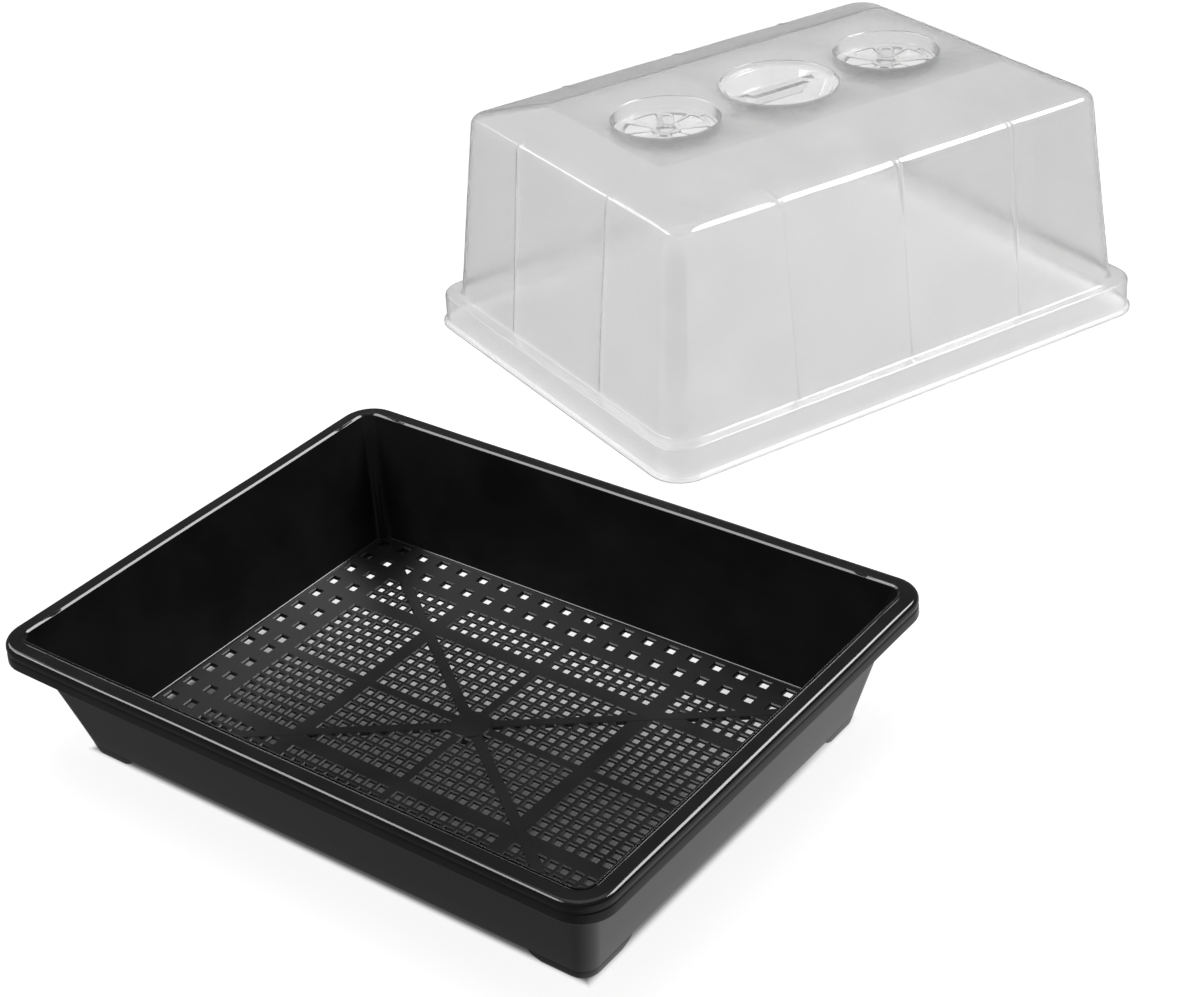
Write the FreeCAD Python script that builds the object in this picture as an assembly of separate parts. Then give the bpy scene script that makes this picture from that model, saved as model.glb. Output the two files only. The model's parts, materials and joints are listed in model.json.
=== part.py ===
"""Humidity dome tray: a black seed tray with a mesh floor, and its clear dome with two turning vents.

Frame: millimetres, +Z up, origin under the middle of the tray on the surface that it stands on.
X runs along the tray's long side. The dome stands on the same surface behind the tray.
"""
import FreeCAD, Part
import os
from math import atan2, cos, degrees, hypot, pi, radians, sin

# Mesh floor
mesh_pitch = 7.2
mesh_hole = 4.3
edge_hole = 5.0
long_offsets = [[0.75 + k for k in range(9)], [10.75 + k for k in range(7)]]
short_offsets = [[0.75 + k for k in range(7)], [8.75 + k for k in range(3)]]
long_edge_rows = (18.75, 20.75)
short_edge_rows = (12.75, 14.75)
edge_columns = 11
edge_lines = 8
smallest_hole = 1.5
diagonal_band = 6.0
boss_radius = 11.0
floor_margin = 6.6
floor_thickness = 2.0
rib_depth = 1.2
rib_width = 2.4

# Tray
foot_height = 3.0
foot_reach = 30.0
foot_width = 7.0
foot_corner = 1.5
tray_depth = 67.0
tray_draft = 16.5
tray_wall = 1.8
base_chamfer = 1.0
rim_width = 10.6
rim_corner = 18.0
lip_depth = 11.0
ridge_height = 1.2
ridge_width = 1.4

# Dome
dome_wall = 1.0
skirt_gap = 0.6
bead_height = 3.0
bead_reach = 2.2
skirt_draft = 0.2
ledge_height = 21.5
ledge_chamfer = 1.2
wall_overlap = 2.0
wall_inset = 8.4
wall_corner = 20.0
shoulder_height = 147.0
shoulder_inset = 21.5
shoulder_round = 3.5
shoulder_corner = 16.0
dome_height = 162.5
top_length = 266.0
top_width = 130.0
top_corner = 6.0
pleat_radius = 1.3
long_pleats = (-87.0, 0.0, 87.0)
short_pleats = (-51.0, 51.0)

# Finger grip in the middle of the dome's top
grip_radius = 37.5
grip_recess = 3.5
pocket_radius = 33.5
pocket_draft = 5.0
pocket_depth = 14.5
bar_width = 11.0

# Turning vents
vent_offset = 86.0
vent_radius = 33.5
vent_depth = 9.0
vent_bore = 4.0
vent_inner = 9.5
vent_outer = 25.5
slot_angle = 36.0
slot_count = 4
turn_angle = 45.0
lug_radius = 29.2
lug_width = 2.4
lug_rise = 1.0
track_reach = 2.0
disc_gap = 0.3
disc_thickness = 1.2
disc_clearance = 0.7
knob_radius = 5.6
knob_height = 9.4
pin_clearance = 0.05
snap_reach = 0.9
snap_height = 1.0

# Where the dome stands beside the tray
dome_x = -113.0
dome_y = 469.0
dome_turn = 69.0

# Sizes that follow from the ones above
long_band = (long_offsets[0][-1] + long_offsets[1][0]) / 2
short_band = (short_offsets[0][-1] + short_offsets[1][0]) / 2
inner_corner = rim_corner - rim_width
floor_length = 2 * (long_edge_rows[-1] * mesh_pitch + floor_margin)
floor_width = 2 * (short_edge_rows[-1] * mesh_pitch + floor_margin)
floor_top = foot_height + floor_thickness
rim_top = floor_top + tray_depth
rim_length = floor_length + 2 * (tray_draft + rim_width)
rim_depth = floor_width + 2 * (tray_draft + rim_width)
plate_inset = 1.5
skirt_length = rim_length + 2 * (skirt_gap + dome_wall)
skirt_depth = rim_depth + 2 * (skirt_gap + dome_wall)
vent_floor = dome_height - vent_depth
up = FreeCAD.Vector(0, 0, 1)


def outline(length, width, radius, z):
    """Closed wire of a rounded rectangle centred on the Z axis."""
    x, y = length / 2 - radius, width / 2 - radius
    edges = []
    for k, (cx, cy) in enumerate([(x, y), (-x, y), (-x, -y), (x, -y)]):
        start = k * pi / 2
        ring = [FreeCAD.Vector(cx + radius * cos(a), cy + radius * sin(a), z)
                for a in (start, start + pi / 4, start + pi / 2)]
        if edges:
            edges.append(Part.makeLine(last, ring[0]))
        else:
            first = ring[0]
        edges.append(Part.Arc(*ring).toShape())
        last = ring[2]
    edges.append(Part.makeLine(last, first))
    return Part.Wire(edges)


def block(length, width, radius, low, high):
    """Upright rounded block between two heights."""
    face = Part.Face(outline(length, width, radius, low))
    return face.extrude(up * (high - low))


def stack(sections):
    """Solid through rounded rectangles given as (length, width, corner radius, height)."""
    return Part.makeLoft([outline(*section) for section in sections], True, True)


def cylinder(radius, low, high, x=0.0):
    return Part.makeCylinder(radius, high - low, FreeCAD.Vector(x, 0, low), up)


def sector(inner, outer, middle, width, low, high):
    """Ring sector around the Z axis, its middle and its width in degrees."""
    turned = Part.makeCylinder(outer, high - low, FreeCAD.Vector(0, 0, low), up, width)
    turned = turned.cut(cylinder(inner, low, high))
    turned.rotate(FreeCAD.Vector(0, 0, 0), up, middle - width / 2)
    return turned


def clip(points, normal, limit):
    """Part of a polygon on the side of a line where point . normal is over the limit."""
    kept = []
    for (ax, ay), (bx, by) in zip(points, points[1:] + points[:1]):
        a = ax * normal[0] + ay * normal[1] - limit
        b = bx * normal[0] + by * normal[1] - limit
        if a >= 0:
            kept.append((ax, ay))
        if a * b < 0:
            share = a / (a - b)
            kept.append((ax + share * (bx - ax), ay + share * (by - ay)))
    return kept


def area(points):
    pairs = zip(points, points[1:] + points[:1])
    return abs(sum(ax * by - bx * ay for (ax, ay), (bx, by) in pairs)) / 2


def mesh_polygon(x, y):
    """Mesh hole in the first quadrant, cut back beside the diagonal band."""
    h = mesh_hole / 2
    square = [(x - h, y - h), (x + h, y - h), (x + h, y + h), (x - h, y + h)]
    diagonal = hypot(floor_length, floor_width)
    normal = (floor_width / diagonal, -floor_length / diagonal)
    if x * normal[0] + y * normal[1] < 0:
        normal = (-normal[0], -normal[1])
    return clip(square, normal, diagonal_band / 2)


def quadrant_holes():
    """Polygons of every hole in the first quadrant of the floor."""
    holes = []
    for x in sum(long_offsets, []):
        for y in sum(short_offsets, []):
            if hypot(x, y) * mesh_pitch > boss_radius + mesh_hole / 2:
                holes.append(mesh_polygon(x * mesh_pitch, y * mesh_pitch))
    centres = set()
    along = [long_edge_rows[-1] - 2 * k for k in range(edge_columns)]
    across = [short_edge_rows[-1] - 2 * k for k in range(edge_lines)]
    for y in short_edge_rows:
        centres.update((x, y) for x in along)
    for x in long_edge_rows:
        centres.update((x, y) for y in across)
    h = edge_hole / 2
    for x, y in sorted(centres):
        x, y = x * mesh_pitch, y * mesh_pitch
        holes.append([(x - h, y - h), (x + h, y - h), (x + h, y + h), (x - h, y + h)])
    return [hole for hole in holes if len(hole) > 2 and area(hole) > smallest_hole]


def mesh_floor():
    """Perforated plate with the stiffening ribs and the middle foot under it.

    Each hole's points run clockwise, against the plate's outline.
    """
    wires = [outline(floor_length - 2 * plate_inset, floor_width - 2 * plate_inset,
                     inner_corner - plate_inset, foot_height)]
    for hole in quadrant_holes():
        for sx, sy in ((1, 1), (-1, 1), (-1, -1), (1, -1)):
            points = [FreeCAD.Vector(sx * x, sy * y, foot_height) for x, y in hole]
            if sx == sy:
                points.reverse()
            wires.append(Part.makePolygon(points + points[:1]))
    plate = Part.Face(wires).extrude(up * floor_thickness)
    return plate.fuse([floor_ribs(), cylinder(boss_radius, 0, foot_height)])


def floor_ribs():
    """Ribs under the solid bands between the mesh panels and along both diagonals."""
    low = foot_height - rib_depth
    reach_x = long_edge_rows[0] * mesh_pitch - edge_hole
    reach_y = short_edge_rows[0] * mesh_pitch - edge_hole
    ribs = []
    for x in (-long_band, 0.0, long_band):
        ribs.append(Part.makeBox(rib_width, 2 * reach_y, rib_depth,
                                 FreeCAD.Vector(x * mesh_pitch - rib_width / 2, -reach_y, low)))
    for y in (-short_band, 0.0, short_band):
        ribs.append(Part.makeBox(2 * reach_x, rib_width, rib_depth,
                                 FreeCAD.Vector(-reach_x, y * mesh_pitch - rib_width / 2, low)))
    reach = hypot(reach_x, reach_y)
    for side in (-1, 1):
        rib = Part.makeBox(2 * reach, rib_width, rib_depth,
                           FreeCAD.Vector(-reach, -rib_width / 2, low))
        rib.rotate(FreeCAD.Vector(0, 0, 0), up, side * degrees(atan2(floor_width, floor_length)))
        ribs.append(rib)
    return ribs[0].fuse(ribs[1:])


def inner_spread(z):
    """How far the tray's inner wall has opened out from the floor's edge at a height."""
    return tray_draft * (z - floor_top) / tray_depth


def tray_shell():
    """Walls, flat rim with its turned-down lip and ridge, and the four corner feet."""
    def wall_section(z, extra):
        out = 2 * (inner_spread(z) + extra)
        return (floor_length + out, floor_width + out, inner_corner + extra, z)

    under_rim = rim_top - tray_wall
    body = stack([wall_section(foot_height, tray_wall - base_chamfer), wall_section(floor_top, tray_wall),
                  wall_section(under_rim, tray_wall)])
    rim = block(rim_length, rim_depth, rim_corner, under_rim, rim_top)
    lip = block(rim_length, rim_depth, rim_corner, rim_top - lip_depth, rim_top)
    lip = lip.cut(block(rim_length - 2 * tray_wall, rim_depth - 2 * tray_wall,
                        rim_corner - tray_wall, rim_top - lip_depth, rim_top))
    mouth = 2 * (rim_width - ridge_width)
    ridge = block(rim_length - mouth, rim_depth - mouth, rim_corner - mouth / 2,
                  under_rim, rim_top + ridge_height)
    shell = body.fuse([rim, lip, ridge] + corner_feet())
    hollow = stack([wall_section(floor_top, 0.0), wall_section(rim_top + 2 * ridge_height, 0.0)])
    opening = block(floor_length - 2 * plate_inset, floor_width - 2 * plate_inset,
                    inner_corner - plate_inset, foot_height, floor_top)
    return shell.cut(hollow).cut(opening).removeSplitter()


def corner_feet():
    """Four L-shaped feet that follow the corners of the tray's base."""
    ring = block(floor_length, floor_width, inner_corner, 0, foot_height)
    ring = ring.cut(block(floor_length - 2 * foot_width, floor_width - 2 * foot_width,
                          foot_corner, 0, foot_height))
    feet = []
    for sx in (-1, 1):
        for sy in (-1, 1):
            corner = Part.makeBox(foot_reach, foot_reach, foot_height)
            corner.translate(FreeCAD.Vector(sx * floor_length / 2 - (foot_reach if sx > 0 else 0),
                                            sy * floor_width / 2 - (foot_reach if sy > 0 else 0), 0))
            feet.append(ring.common(corner))
    return feet


def dome_body(inset):
    """Solid inside the dome's outer surface moved in by an inset: skirt, then walls and roof."""
    def section(back, radius, z):
        cut = 2 * (back + inset)
        return (skirt_length - cut, skirt_depth - cut, radius - inset, z)

    flange_corner = rim_corner + skirt_gap + dome_wall
    ledge = ledge_height - inset
    skirt = stack([section(0.0, flange_corner, 0.0),
                   section(skirt_draft, flange_corner, ledge - ledge_chamfer),
                   section(ledge_chamfer, flange_corner - ledge_chamfer, ledge)])
    walls = stack([section(wall_inset, wall_corner, ledge - wall_overlap),
                   section(shoulder_inset, shoulder_corner, shoulder_height - shoulder_round),
                   section(shoulder_inset + shoulder_round, shoulder_corner - shoulder_round,
                           shoulder_height - inset),
                   (top_length, top_width, top_corner, dome_height - inset)])
    return skirt.fuse(walls)


def dome_pleats():
    """Upright pleats moulded in the walls, three along each long side and two on each end."""
    low, high = ledge_height, shoulder_height - shoulder_round
    pleats = []
    for side in (-1, 1):
        for x in long_pleats:
            y = skirt_depth / 2
            pleats.append(((x, side * (y - wall_inset), low), (x, side * (y - shoulder_inset), high)))
        for y in short_pleats:
            x = skirt_length / 2
            pleats.append(((side * (x - wall_inset), y, low), (side * (x - shoulder_inset), y, high)))
    rods = []
    for start, end in pleats:
        start, end = FreeCAD.Vector(*start), FreeCAD.Vector(*end)
        rods.append(Part.makeCylinder(pleat_radius, (end - start).Length, start, end - start))
    return rods


def pocket_cone(radius, low, high):
    """Tapered round body that both finger pockets are taken from."""
    small = radius - pocket_draft
    return Part.makeCone(small, radius, high - low, FreeCAD.Vector(0, 0, low), up)


def finger_grip(dome):
    """Round recess in the top with two finger pockets and the hollow bar between them."""
    step = dome_height - grip_recess
    low = dome_height - pocket_depth
    dome = dome.fuse([cylinder(grip_radius + dome_wall, step - dome_wall, dome_height),
                      pocket_cone(pocket_radius + dome_wall, low - dome_wall, step)])
    dome = dome.cut(cylinder(grip_radius, step, dome_height))
    pockets = pocket_cone(pocket_radius, low, step)
    pockets = pockets.cut(Part.makeBox(4 * grip_radius, bar_width, dome_height,
                                       FreeCAD.Vector(-2 * grip_radius, -bar_width / 2, 0)))
    under_bar = pocket_cone(pocket_radius, low - dome_wall, step - dome_wall)
    hollow = bar_width - 2 * dome_wall
    under_bar = under_bar.common(Part.makeBox(4 * grip_radius, hollow, dome_height,
                                              FreeCAD.Vector(-2 * grip_radius, -hollow / 2, 0)))
    return dome.cut([pockets, under_bar])


def vent_slots(low, high, first):
    """Sector openings of one vent around the Z axis."""
    step = 360.0 / slot_count
    return [sector(vent_inner, vent_outer, first + k * step, slot_angle, low, high)
            for k in range(slot_count)]


def vent_well(dome, x):
    """Round well with slots in its floor, the bore for the disc's pin and the stop lug."""
    place = FreeCAD.Vector(x, 0, 0)
    low = vent_floor - dome_wall
    lug = Part.makeBox(lug_width, lug_width, dome_wall + disc_gap + disc_thickness + lug_rise,
                       FreeCAD.Vector(lug_radius - lug_width / 2, -lug_width / 2, low))
    cuts = vent_slots(low, vent_floor, turn_angle) + [cylinder(vent_bore, low, vent_floor)]
    for shape in cuts + [lug]:
        shape.translate(place)
    dome = dome.fuse(cylinder(vent_radius + dome_wall, low, dome_height, x))
    dome = dome.cut(cylinder(vent_radius, vent_floor, dome_height, x))
    return dome.cut(cuts).fuse(lug)


def dome_shell():
    """Clear dome in its own frame, standing on its flange."""
    bead = block(skirt_length + 2 * bead_reach, skirt_depth + 2 * bead_reach,
                 rim_corner + skirt_gap + dome_wall + bead_reach, 0, bead_height)
    body = dome_body(0.0).fuse([bead] + dome_pleats())
    body = body.cut(dome_body(dome_wall))
    body = finger_grip(body)
    for x in (-vent_offset, vent_offset):
        body = vent_well(body, x)
    return body


def vent_disc(x):
    """Turning shutter: slotted disc, finger knob, pin through the well's floor and snap ring."""
    low = vent_floor + disc_gap
    under = vent_floor - dome_wall - disc_gap
    disc = cylinder(vent_radius - disc_clearance, low, low + disc_thickness)
    lug_span = 2 * degrees(lug_width / lug_radius)
    track = sector(lug_radius - track_reach, lug_radius + track_reach, -turn_angle / 2,
                   turn_angle + lug_span, low, low + disc_thickness)
    disc = disc.cut(vent_slots(low, low + disc_thickness, 0.0) + [track])
    disc = disc.fuse([cylinder(knob_radius, low, vent_floor + knob_height),
                      cylinder(vent_bore - pin_clearance, under - snap_height, low),
                      cylinder(vent_bore + snap_reach, under - snap_height, under)])
    disc.translate(FreeCAD.Vector(x, 0, 0))
    return disc.removeSplitter()


def beside_tray(shape):
    """Moves a piece of the dome from the dome's own frame to where the dome stands."""
    shape.rotate(FreeCAD.Vector(0, 0, 0), up, dome_turn)
    shape.translate(FreeCAD.Vector(dome_x, dome_y, 0))
    return shape


def build():
    return {
        "tray_shell": tray_shell(),
        "mesh_floor": mesh_floor(),
        "dome_shell": beside_tray(dome_shell()),
        "vent_disc_left": beside_tray(vent_disc(-vent_offset)),
        "vent_disc_right": beside_tray(vent_disc(vent_offset)),
    }


if __name__ == "__main__":
    os.makedirs("parts", exist_ok=True)
    for name, shape in build().items():
        shape.exportStep("parts/" + name + ".step")
        box = shape.BoundBox
        print(name, shape.isValid(), len(shape.Solids), round(shape.Volume),
              [round(v, 1) for v in (box.XMin, box.YMin, box.ZMin, box.XMax, box.YMax, box.ZMax)])
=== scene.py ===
"""Humidity dome tray: black seed tray with a mesh floor, and its clear dome with two turning vents.

The tray stands in front and its dome stands behind it on the same floor. Lengths are in metres.
A row is (half length, half width, corner radius, height) of a rounded rectangle round an upright axis.
"""
import json
from math import atan2, cos, hypot, pi, radians, sin, sqrt

import bmesh
import bpy
from mathutils import Matrix, Vector, noise


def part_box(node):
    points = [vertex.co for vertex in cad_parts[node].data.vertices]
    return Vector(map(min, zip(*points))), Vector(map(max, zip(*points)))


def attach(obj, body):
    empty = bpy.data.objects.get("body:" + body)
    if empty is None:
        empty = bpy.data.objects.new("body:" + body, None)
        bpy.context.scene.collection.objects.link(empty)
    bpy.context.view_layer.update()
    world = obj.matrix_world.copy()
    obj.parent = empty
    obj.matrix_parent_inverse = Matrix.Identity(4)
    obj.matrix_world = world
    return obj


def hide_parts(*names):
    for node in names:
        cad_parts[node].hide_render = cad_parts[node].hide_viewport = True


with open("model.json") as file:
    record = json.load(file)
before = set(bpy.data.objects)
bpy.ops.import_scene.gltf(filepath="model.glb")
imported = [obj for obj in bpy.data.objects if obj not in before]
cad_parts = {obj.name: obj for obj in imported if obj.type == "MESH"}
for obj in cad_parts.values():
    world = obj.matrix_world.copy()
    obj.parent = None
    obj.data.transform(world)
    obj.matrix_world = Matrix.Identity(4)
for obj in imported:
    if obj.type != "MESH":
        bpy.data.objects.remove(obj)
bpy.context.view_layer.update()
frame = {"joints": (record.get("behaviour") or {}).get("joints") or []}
MM = 0.001

# The frame: where the pieces are
shell_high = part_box("tray_shell")[1]
plate_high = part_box("mesh_floor")[1]
disc_low, disc_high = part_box("vent_disc_left")
vents = [Vector(j["pos_m"]) for j in frame["joints"] if j["name"].startswith("vent")]
dome_middle = (vents[0] + vents[1]) / 2
dome_along = (vents[1] - vents[0]).normalized()
vent_offset = (vents[1] - vents[0]).length / 2
dome_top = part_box("dome_shell")[1].z
dome_place = (Matrix.Translation((dome_middle.x, dome_middle.y, 0))
              @ Matrix.Rotation(atan2(dome_along.y, dome_along.x), 4, "Z"))

# Tray
RIM_CORNER = 18 * MM
RIM_WIDTH = 10.6 * MM
RIDGE_HEIGHT = 1.2 * MM
RIDGE_WIDTH = 1.4 * MM
RIDGE_STEP = 0.3 * RIDGE_HEIGHT
LIP_DEPTH = 11 * MM
LIP_GROOVE = 0.35 * MM
RIDGE_GAP = 5 * MM
RIDGE_GAP_HALF = 0.6 * MM
TRAY_DRAFT = 16.5 * MM
TRAY_WALL = 1.8 * MM
PLATE_INSET = 1.5 * MM
WALL_STEP = 12 * MM
CORNER_STEPS = 10
FOOT_HEIGHT = 3 * MM
FOOT_REACH = 30 * MM
FOOT_WIDTH = 7 * MM
FOOT_SLOPE = 6 * MM
TRAY_WAVE = 90 * MM
TRAY_UNEVEN = 0.5 * MM
INNER_CORNER = RIM_CORNER - RIM_WIDTH
RIM_TOP = shell_high.z - RIDGE_HEIGHT
FLOOR_HALF_X = shell_high.x - RIM_WIDTH - TRAY_DRAFT
FLOOR_HALF_Y = shell_high.y - RIM_WIDTH - TRAY_DRAFT
FLOOR_TOP = plate_high.z

# Mesh floor, with holes counted in pitches from the middle
PITCH = 7.2 * MM
CELL_START = 0.25
HALF_COLUMNS = 22
HALF_ROWS = 16
HOLE = 4.3 * MM
EDGE_HOLE = 5 * MM
HOLE_BEVEL = 0.6 * MM
LONG_COLUMNS = [0.75 + k for k in range(9)] + [10.75 + k for k in range(7)]
SHORT_ROWS = [0.75 + k for k in range(7)] + [8.75 + k for k in range(3)]
EDGE_COLUMNS = [20.75 - 2 * k for k in range(11)]
EDGE_LINES = [14.75 - 2 * k for k in range(8)]
LONG_BAND = 9.75
SHORT_BAND = 7.75
BAND_WIDTH = 6 * MM
BAND_RISE = 0.15 * MM
BOSS = 11 * MM
RIB_WIDTH = 2.4 * MM
RIB_DEPTH = 1.2 * MM

# Dome
WALL = 1 * MM
SKIRT_HALF_X = shell_high.x + 1.6 * MM
SKIRT_HALF_Y = shell_high.y + 1.6 * MM
SKIRT_CORNER = RIM_CORNER + 1.6 * MM
BEAD_REACH = 2.2 * MM
BEAD_HEIGHT = 3 * MM
LEDGE = 21.5 * MM
WALL_INSET = 8.4 * MM
SHOULDER = 146.4 * MM
SHOULDER_INSET = 21.9 * MM
TOP_HALF_X = 133 * MM
TOP_HALF_Y = 65 * MM
TOP_CORNER = 6 * MM
LONG_PLEATS = (-87 * MM, 0, 87 * MM)
SHORT_PLEATS = (-51 * MM, 51 * MM)
LONG_PLEAT_HEIGHT = 0.75 * MM
SHORT_PLEAT_HEIGHT = 0.45 * MM
PLEAT_HALF = 3.2 * MM
PLEATED_X = TOP_HALF_X - 15 * MM
PLEATED_Y = TOP_HALF_Y - 9 * MM
STRAIGHT_X = 112 * MM
STRAIGHT_Y = 48 * MM
DOME_WAVE = 70 * MM
DOME_UNEVEN = 0.6 * MM

# Finger grip and vent wells
GRIP_RADIUS = 37.5 * MM
GRIP_RECESS = 3.5 * MM
POCKET_RADIUS = 33.5 * MM
POCKET_DEPTH = 14.5 * MM
POCKET_DRAFT = 5 * MM
POCKET_FILLET = 4 * MM
BAR_HALF = 5.5 * MM
BAR_STEPS = 6
FILLET_STEPS = 8
ARC_STEPS = 24
VENT_RADIUS = 33.5 * MM
WELL_FLOOR = vents[0].z - 0.3 * MM
BORE = 4 * MM
SLOT_INNER = 9.5 * MM
SLOT_OUTER = 25.5 * MM
SLOT_STEPS = 4
TURN_STEPS = 80
TRACK_STEPS = 11
LUG_RADIUS = 29.2 * MM
LUG_WIDTH = 2.4 * MM
DISC_RADIUS = VENT_RADIUS - 0.7 * MM
DISC_THICKNESS = 1.2 * MM
KNOB_RADIUS = 5.6 * MM

# Start of the walls' unevenness, which would follow the clock otherwise
NOISE_SEED = 1

# Usual range of a noise texture
NOISE_LOW = 0.3
NOISE_HIGH = 0.7

# Plastics
BLACK_ROUGHNESS = 0.12
BLACK_GLEAM = 0.4
MESH_ROUGHNESS = 0.3
MESH_GLEAM = 0.24
DOME_IOR = 1.36
# Lower IOR of the vents and of the dome's lightened zones; the clearer grey of those zones and its share over
# the skirt are a painted lightening
LOW_IOR = 1.03
PAINTED_CLEAR_GREY = 0.97
PAINTED_CLEAR_SKIRT = 0.2

# Glow of the studio floor: even in the open; under the tray a painted shade at its front and painted light at
# its back; lost under the dome as a painted shadow
FLOOR_GLOW = 0.88
PAINTED_FRONT_GLOW = 0.06
PAINTED_BACK_GLOW = 0.95
DOME_SHADE = 0.5
COVER_REACH = 250 * MM
FLOOR_GAP = 0.3 * MM

# Greys of the surroundings: above the horizon, and below it to the front left and the back right
AIR = 0.12
BELOW_LEFT = 0.18
BELOW_RIGHT = 0.62


# ---------------------------------------------------------------- mesh helpers

def rounded_ring(row, along_x=(), along_y=()):
    """Points round a row, counter-clockwise, starting at the right end of its +X +Y corner.

    along_x and along_y place points on the straight sides, in rising order.
    """
    half_x, half_y, radius, z = row
    points = []
    sides = [along_x[::-1], along_y[::-1], along_x, along_y]
    for k, (sx, sy) in enumerate([(1, 1), (-1, 1), (-1, -1), (1, -1)]):
        middle = Vector((sx * (half_x - radius), sy * (half_y - radius), z))
        for i in range(CORNER_STEPS + 1):
            angle = (k + i / CORNER_STEPS) * pi / 2
            points.append(middle + radius * Vector((cos(angle), sin(angle), 0)))
        straight = (half_y if k % 2 else half_x) - radius
        for place in sides[k]:
            place = min(straight, max(-straight, place))
            points.append(Vector((sx * half_x, place, z)) if k % 2 else Vector((place, sy * half_y, z)))
    return points


def rounded_rows(corners, steps=4, longest=14 * MM):
    """Rows along a section whose corners are (row..., rounding), with long stretches divided."""
    path = []
    for k, corner in enumerate(corners):
        here, rounding = Vector(corner[:4]), corner[4]
        if rounding == 0:
            path.append(here)
            continue
        ends = []
        for beside in (Vector(corners[k - 1][:4]), Vector(corners[k + 1][:4])):
            way = beside - here
            ends.append(here + way * rounding / hypot(way[1], way[3]))
        for i in range(steps + 1):
            t = i / steps
            path.append(ends[0] * (1 - t) ** 2 + here * 2 * t * (1 - t) + ends[1] * t ** 2)
    rows = [path[0]]
    for first, second in zip(path, path[1:]):
        count = max(1, round(hypot(second[1] - first[1], second[3] - first[3]) / longest))
        rows += [first.lerp(second, (i + 1) / count) for i in range(count)]
    return rows


def spaced(low, high, step):
    """Even places from one limit to another, about a step apart."""
    count = max(1, round((high - low) / step))
    return [low + (high - low) * k / count for k in range(count + 1)]


class Skin:
    """Points and faces of a mesh as it is put together."""

    def __init__(self):
        self.points = []
        self.faces = []

    def row(self, points):
        """Adds points and gives their numbers."""
        self.points += points
        return list(range(len(self.points) - len(points), len(self.points)))

    def strip(self, first, second, closed=True, skip=()):
        """Quads between two rows of point numbers."""
        for i in range(len(first) if closed else len(first) - 1):
            j = (i + 1) % len(first)
            if i not in skip:
                self.faces.append((first[i], first[j], second[j], second[i]))

    def turned(self, section, x=0.0, y=0.0, steps=48):
        """Solid of revolution about an upright axis, from (radius, height) pairs."""
        rows = []
        for radius, z in section:
            angles = [2 * pi * k / steps for k in range(steps)]
            rows.append(self.row([Vector((x + radius * cos(a), y + radius * sin(a), z)) for a in angles]))
        for first, second in zip(rows, rows[1:]):
            self.strip(first, second)
        self.faces += [tuple(rows[0]), tuple(rows[-1][::-1])]

    def bar(self, start, end, width, low, high, bevel=0.0):
        """Straight bar between two points on the floor plane, its upper edges bevelled."""
        way = (end - start).normalized()
        side = Vector((-way.y, way.x, 0))
        half = width / 2
        section = [(-half, low), (half, low), (half, high - bevel), (half - bevel, high),
                   (bevel - half, high), (-half, high - bevel)]
        rows = [self.row([at + side * across + Vector((0, 0, z)) for across, z in section])
                for at in (start, end)]
        self.strip(*rows)
        self.faces += [tuple(rows[0][::-1]), tuple(rows[1])]

    def piece(self, name, material, angle=35, sheet=0.0, upward=False, place=None):
        """Mesh object, smooth up to an angle in degrees. A sheet is thickened downwards or inwards."""
        mesh = bpy.data.meshes.new(name)
        mesh.from_pydata([tuple(p) for p in self.points], [], self.faces)
        if place is not None:
            mesh.transform(place)
        edit = bmesh.new()
        edit.from_mesh(mesh)
        bmesh.ops.remove_doubles(edit, verts=edit.verts, dist=0.000001)
        bmesh.ops.recalc_face_normals(edit, faces=edit.faces)
        if upward and sum(f.normal.z * f.calc_area() for f in edit.faces) < 0:
            bmesh.ops.reverse_faces(edit, faces=edit.faces)
        edit.to_mesh(mesh)
        edit.free()
        mesh.materials.append(material)
        piece = bpy.data.objects.new(name, mesh)
        bpy.context.scene.collection.objects.link(piece)
        mesh.shade_smooth()
        if sheet:
            thicken = piece.modifiers.new("sheet", "SOLIDIFY")
            thicken.thickness = sheet
            thicken.offset = -1
            thicken.use_even_offset = True
        mesh.set_sharp_from_angle(angle=radians(angle))
        return piece


def ease(x, low, high):
    """Rises smoothly from 0 to 1 between two limits."""
    t = min(1, max(0, (x - low) / (high - low)))
    return t * t * (3 - 2 * t)


def wavy(point, scale, height):
    """Point moved by the slow unevenness of moulded plastic."""
    return point + height * noise.noise_vector(point / scale)


# ---------------------------------------------------------------- tray

def wall_row(offset, z, radius, rounding=0.0):
    """Row of the tray, by how far it lies outside the floor's edge, and how round its corner is."""
    return (FLOOR_HALF_X + offset, FLOOR_HALF_Y + offset, radius, z, rounding)


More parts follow.
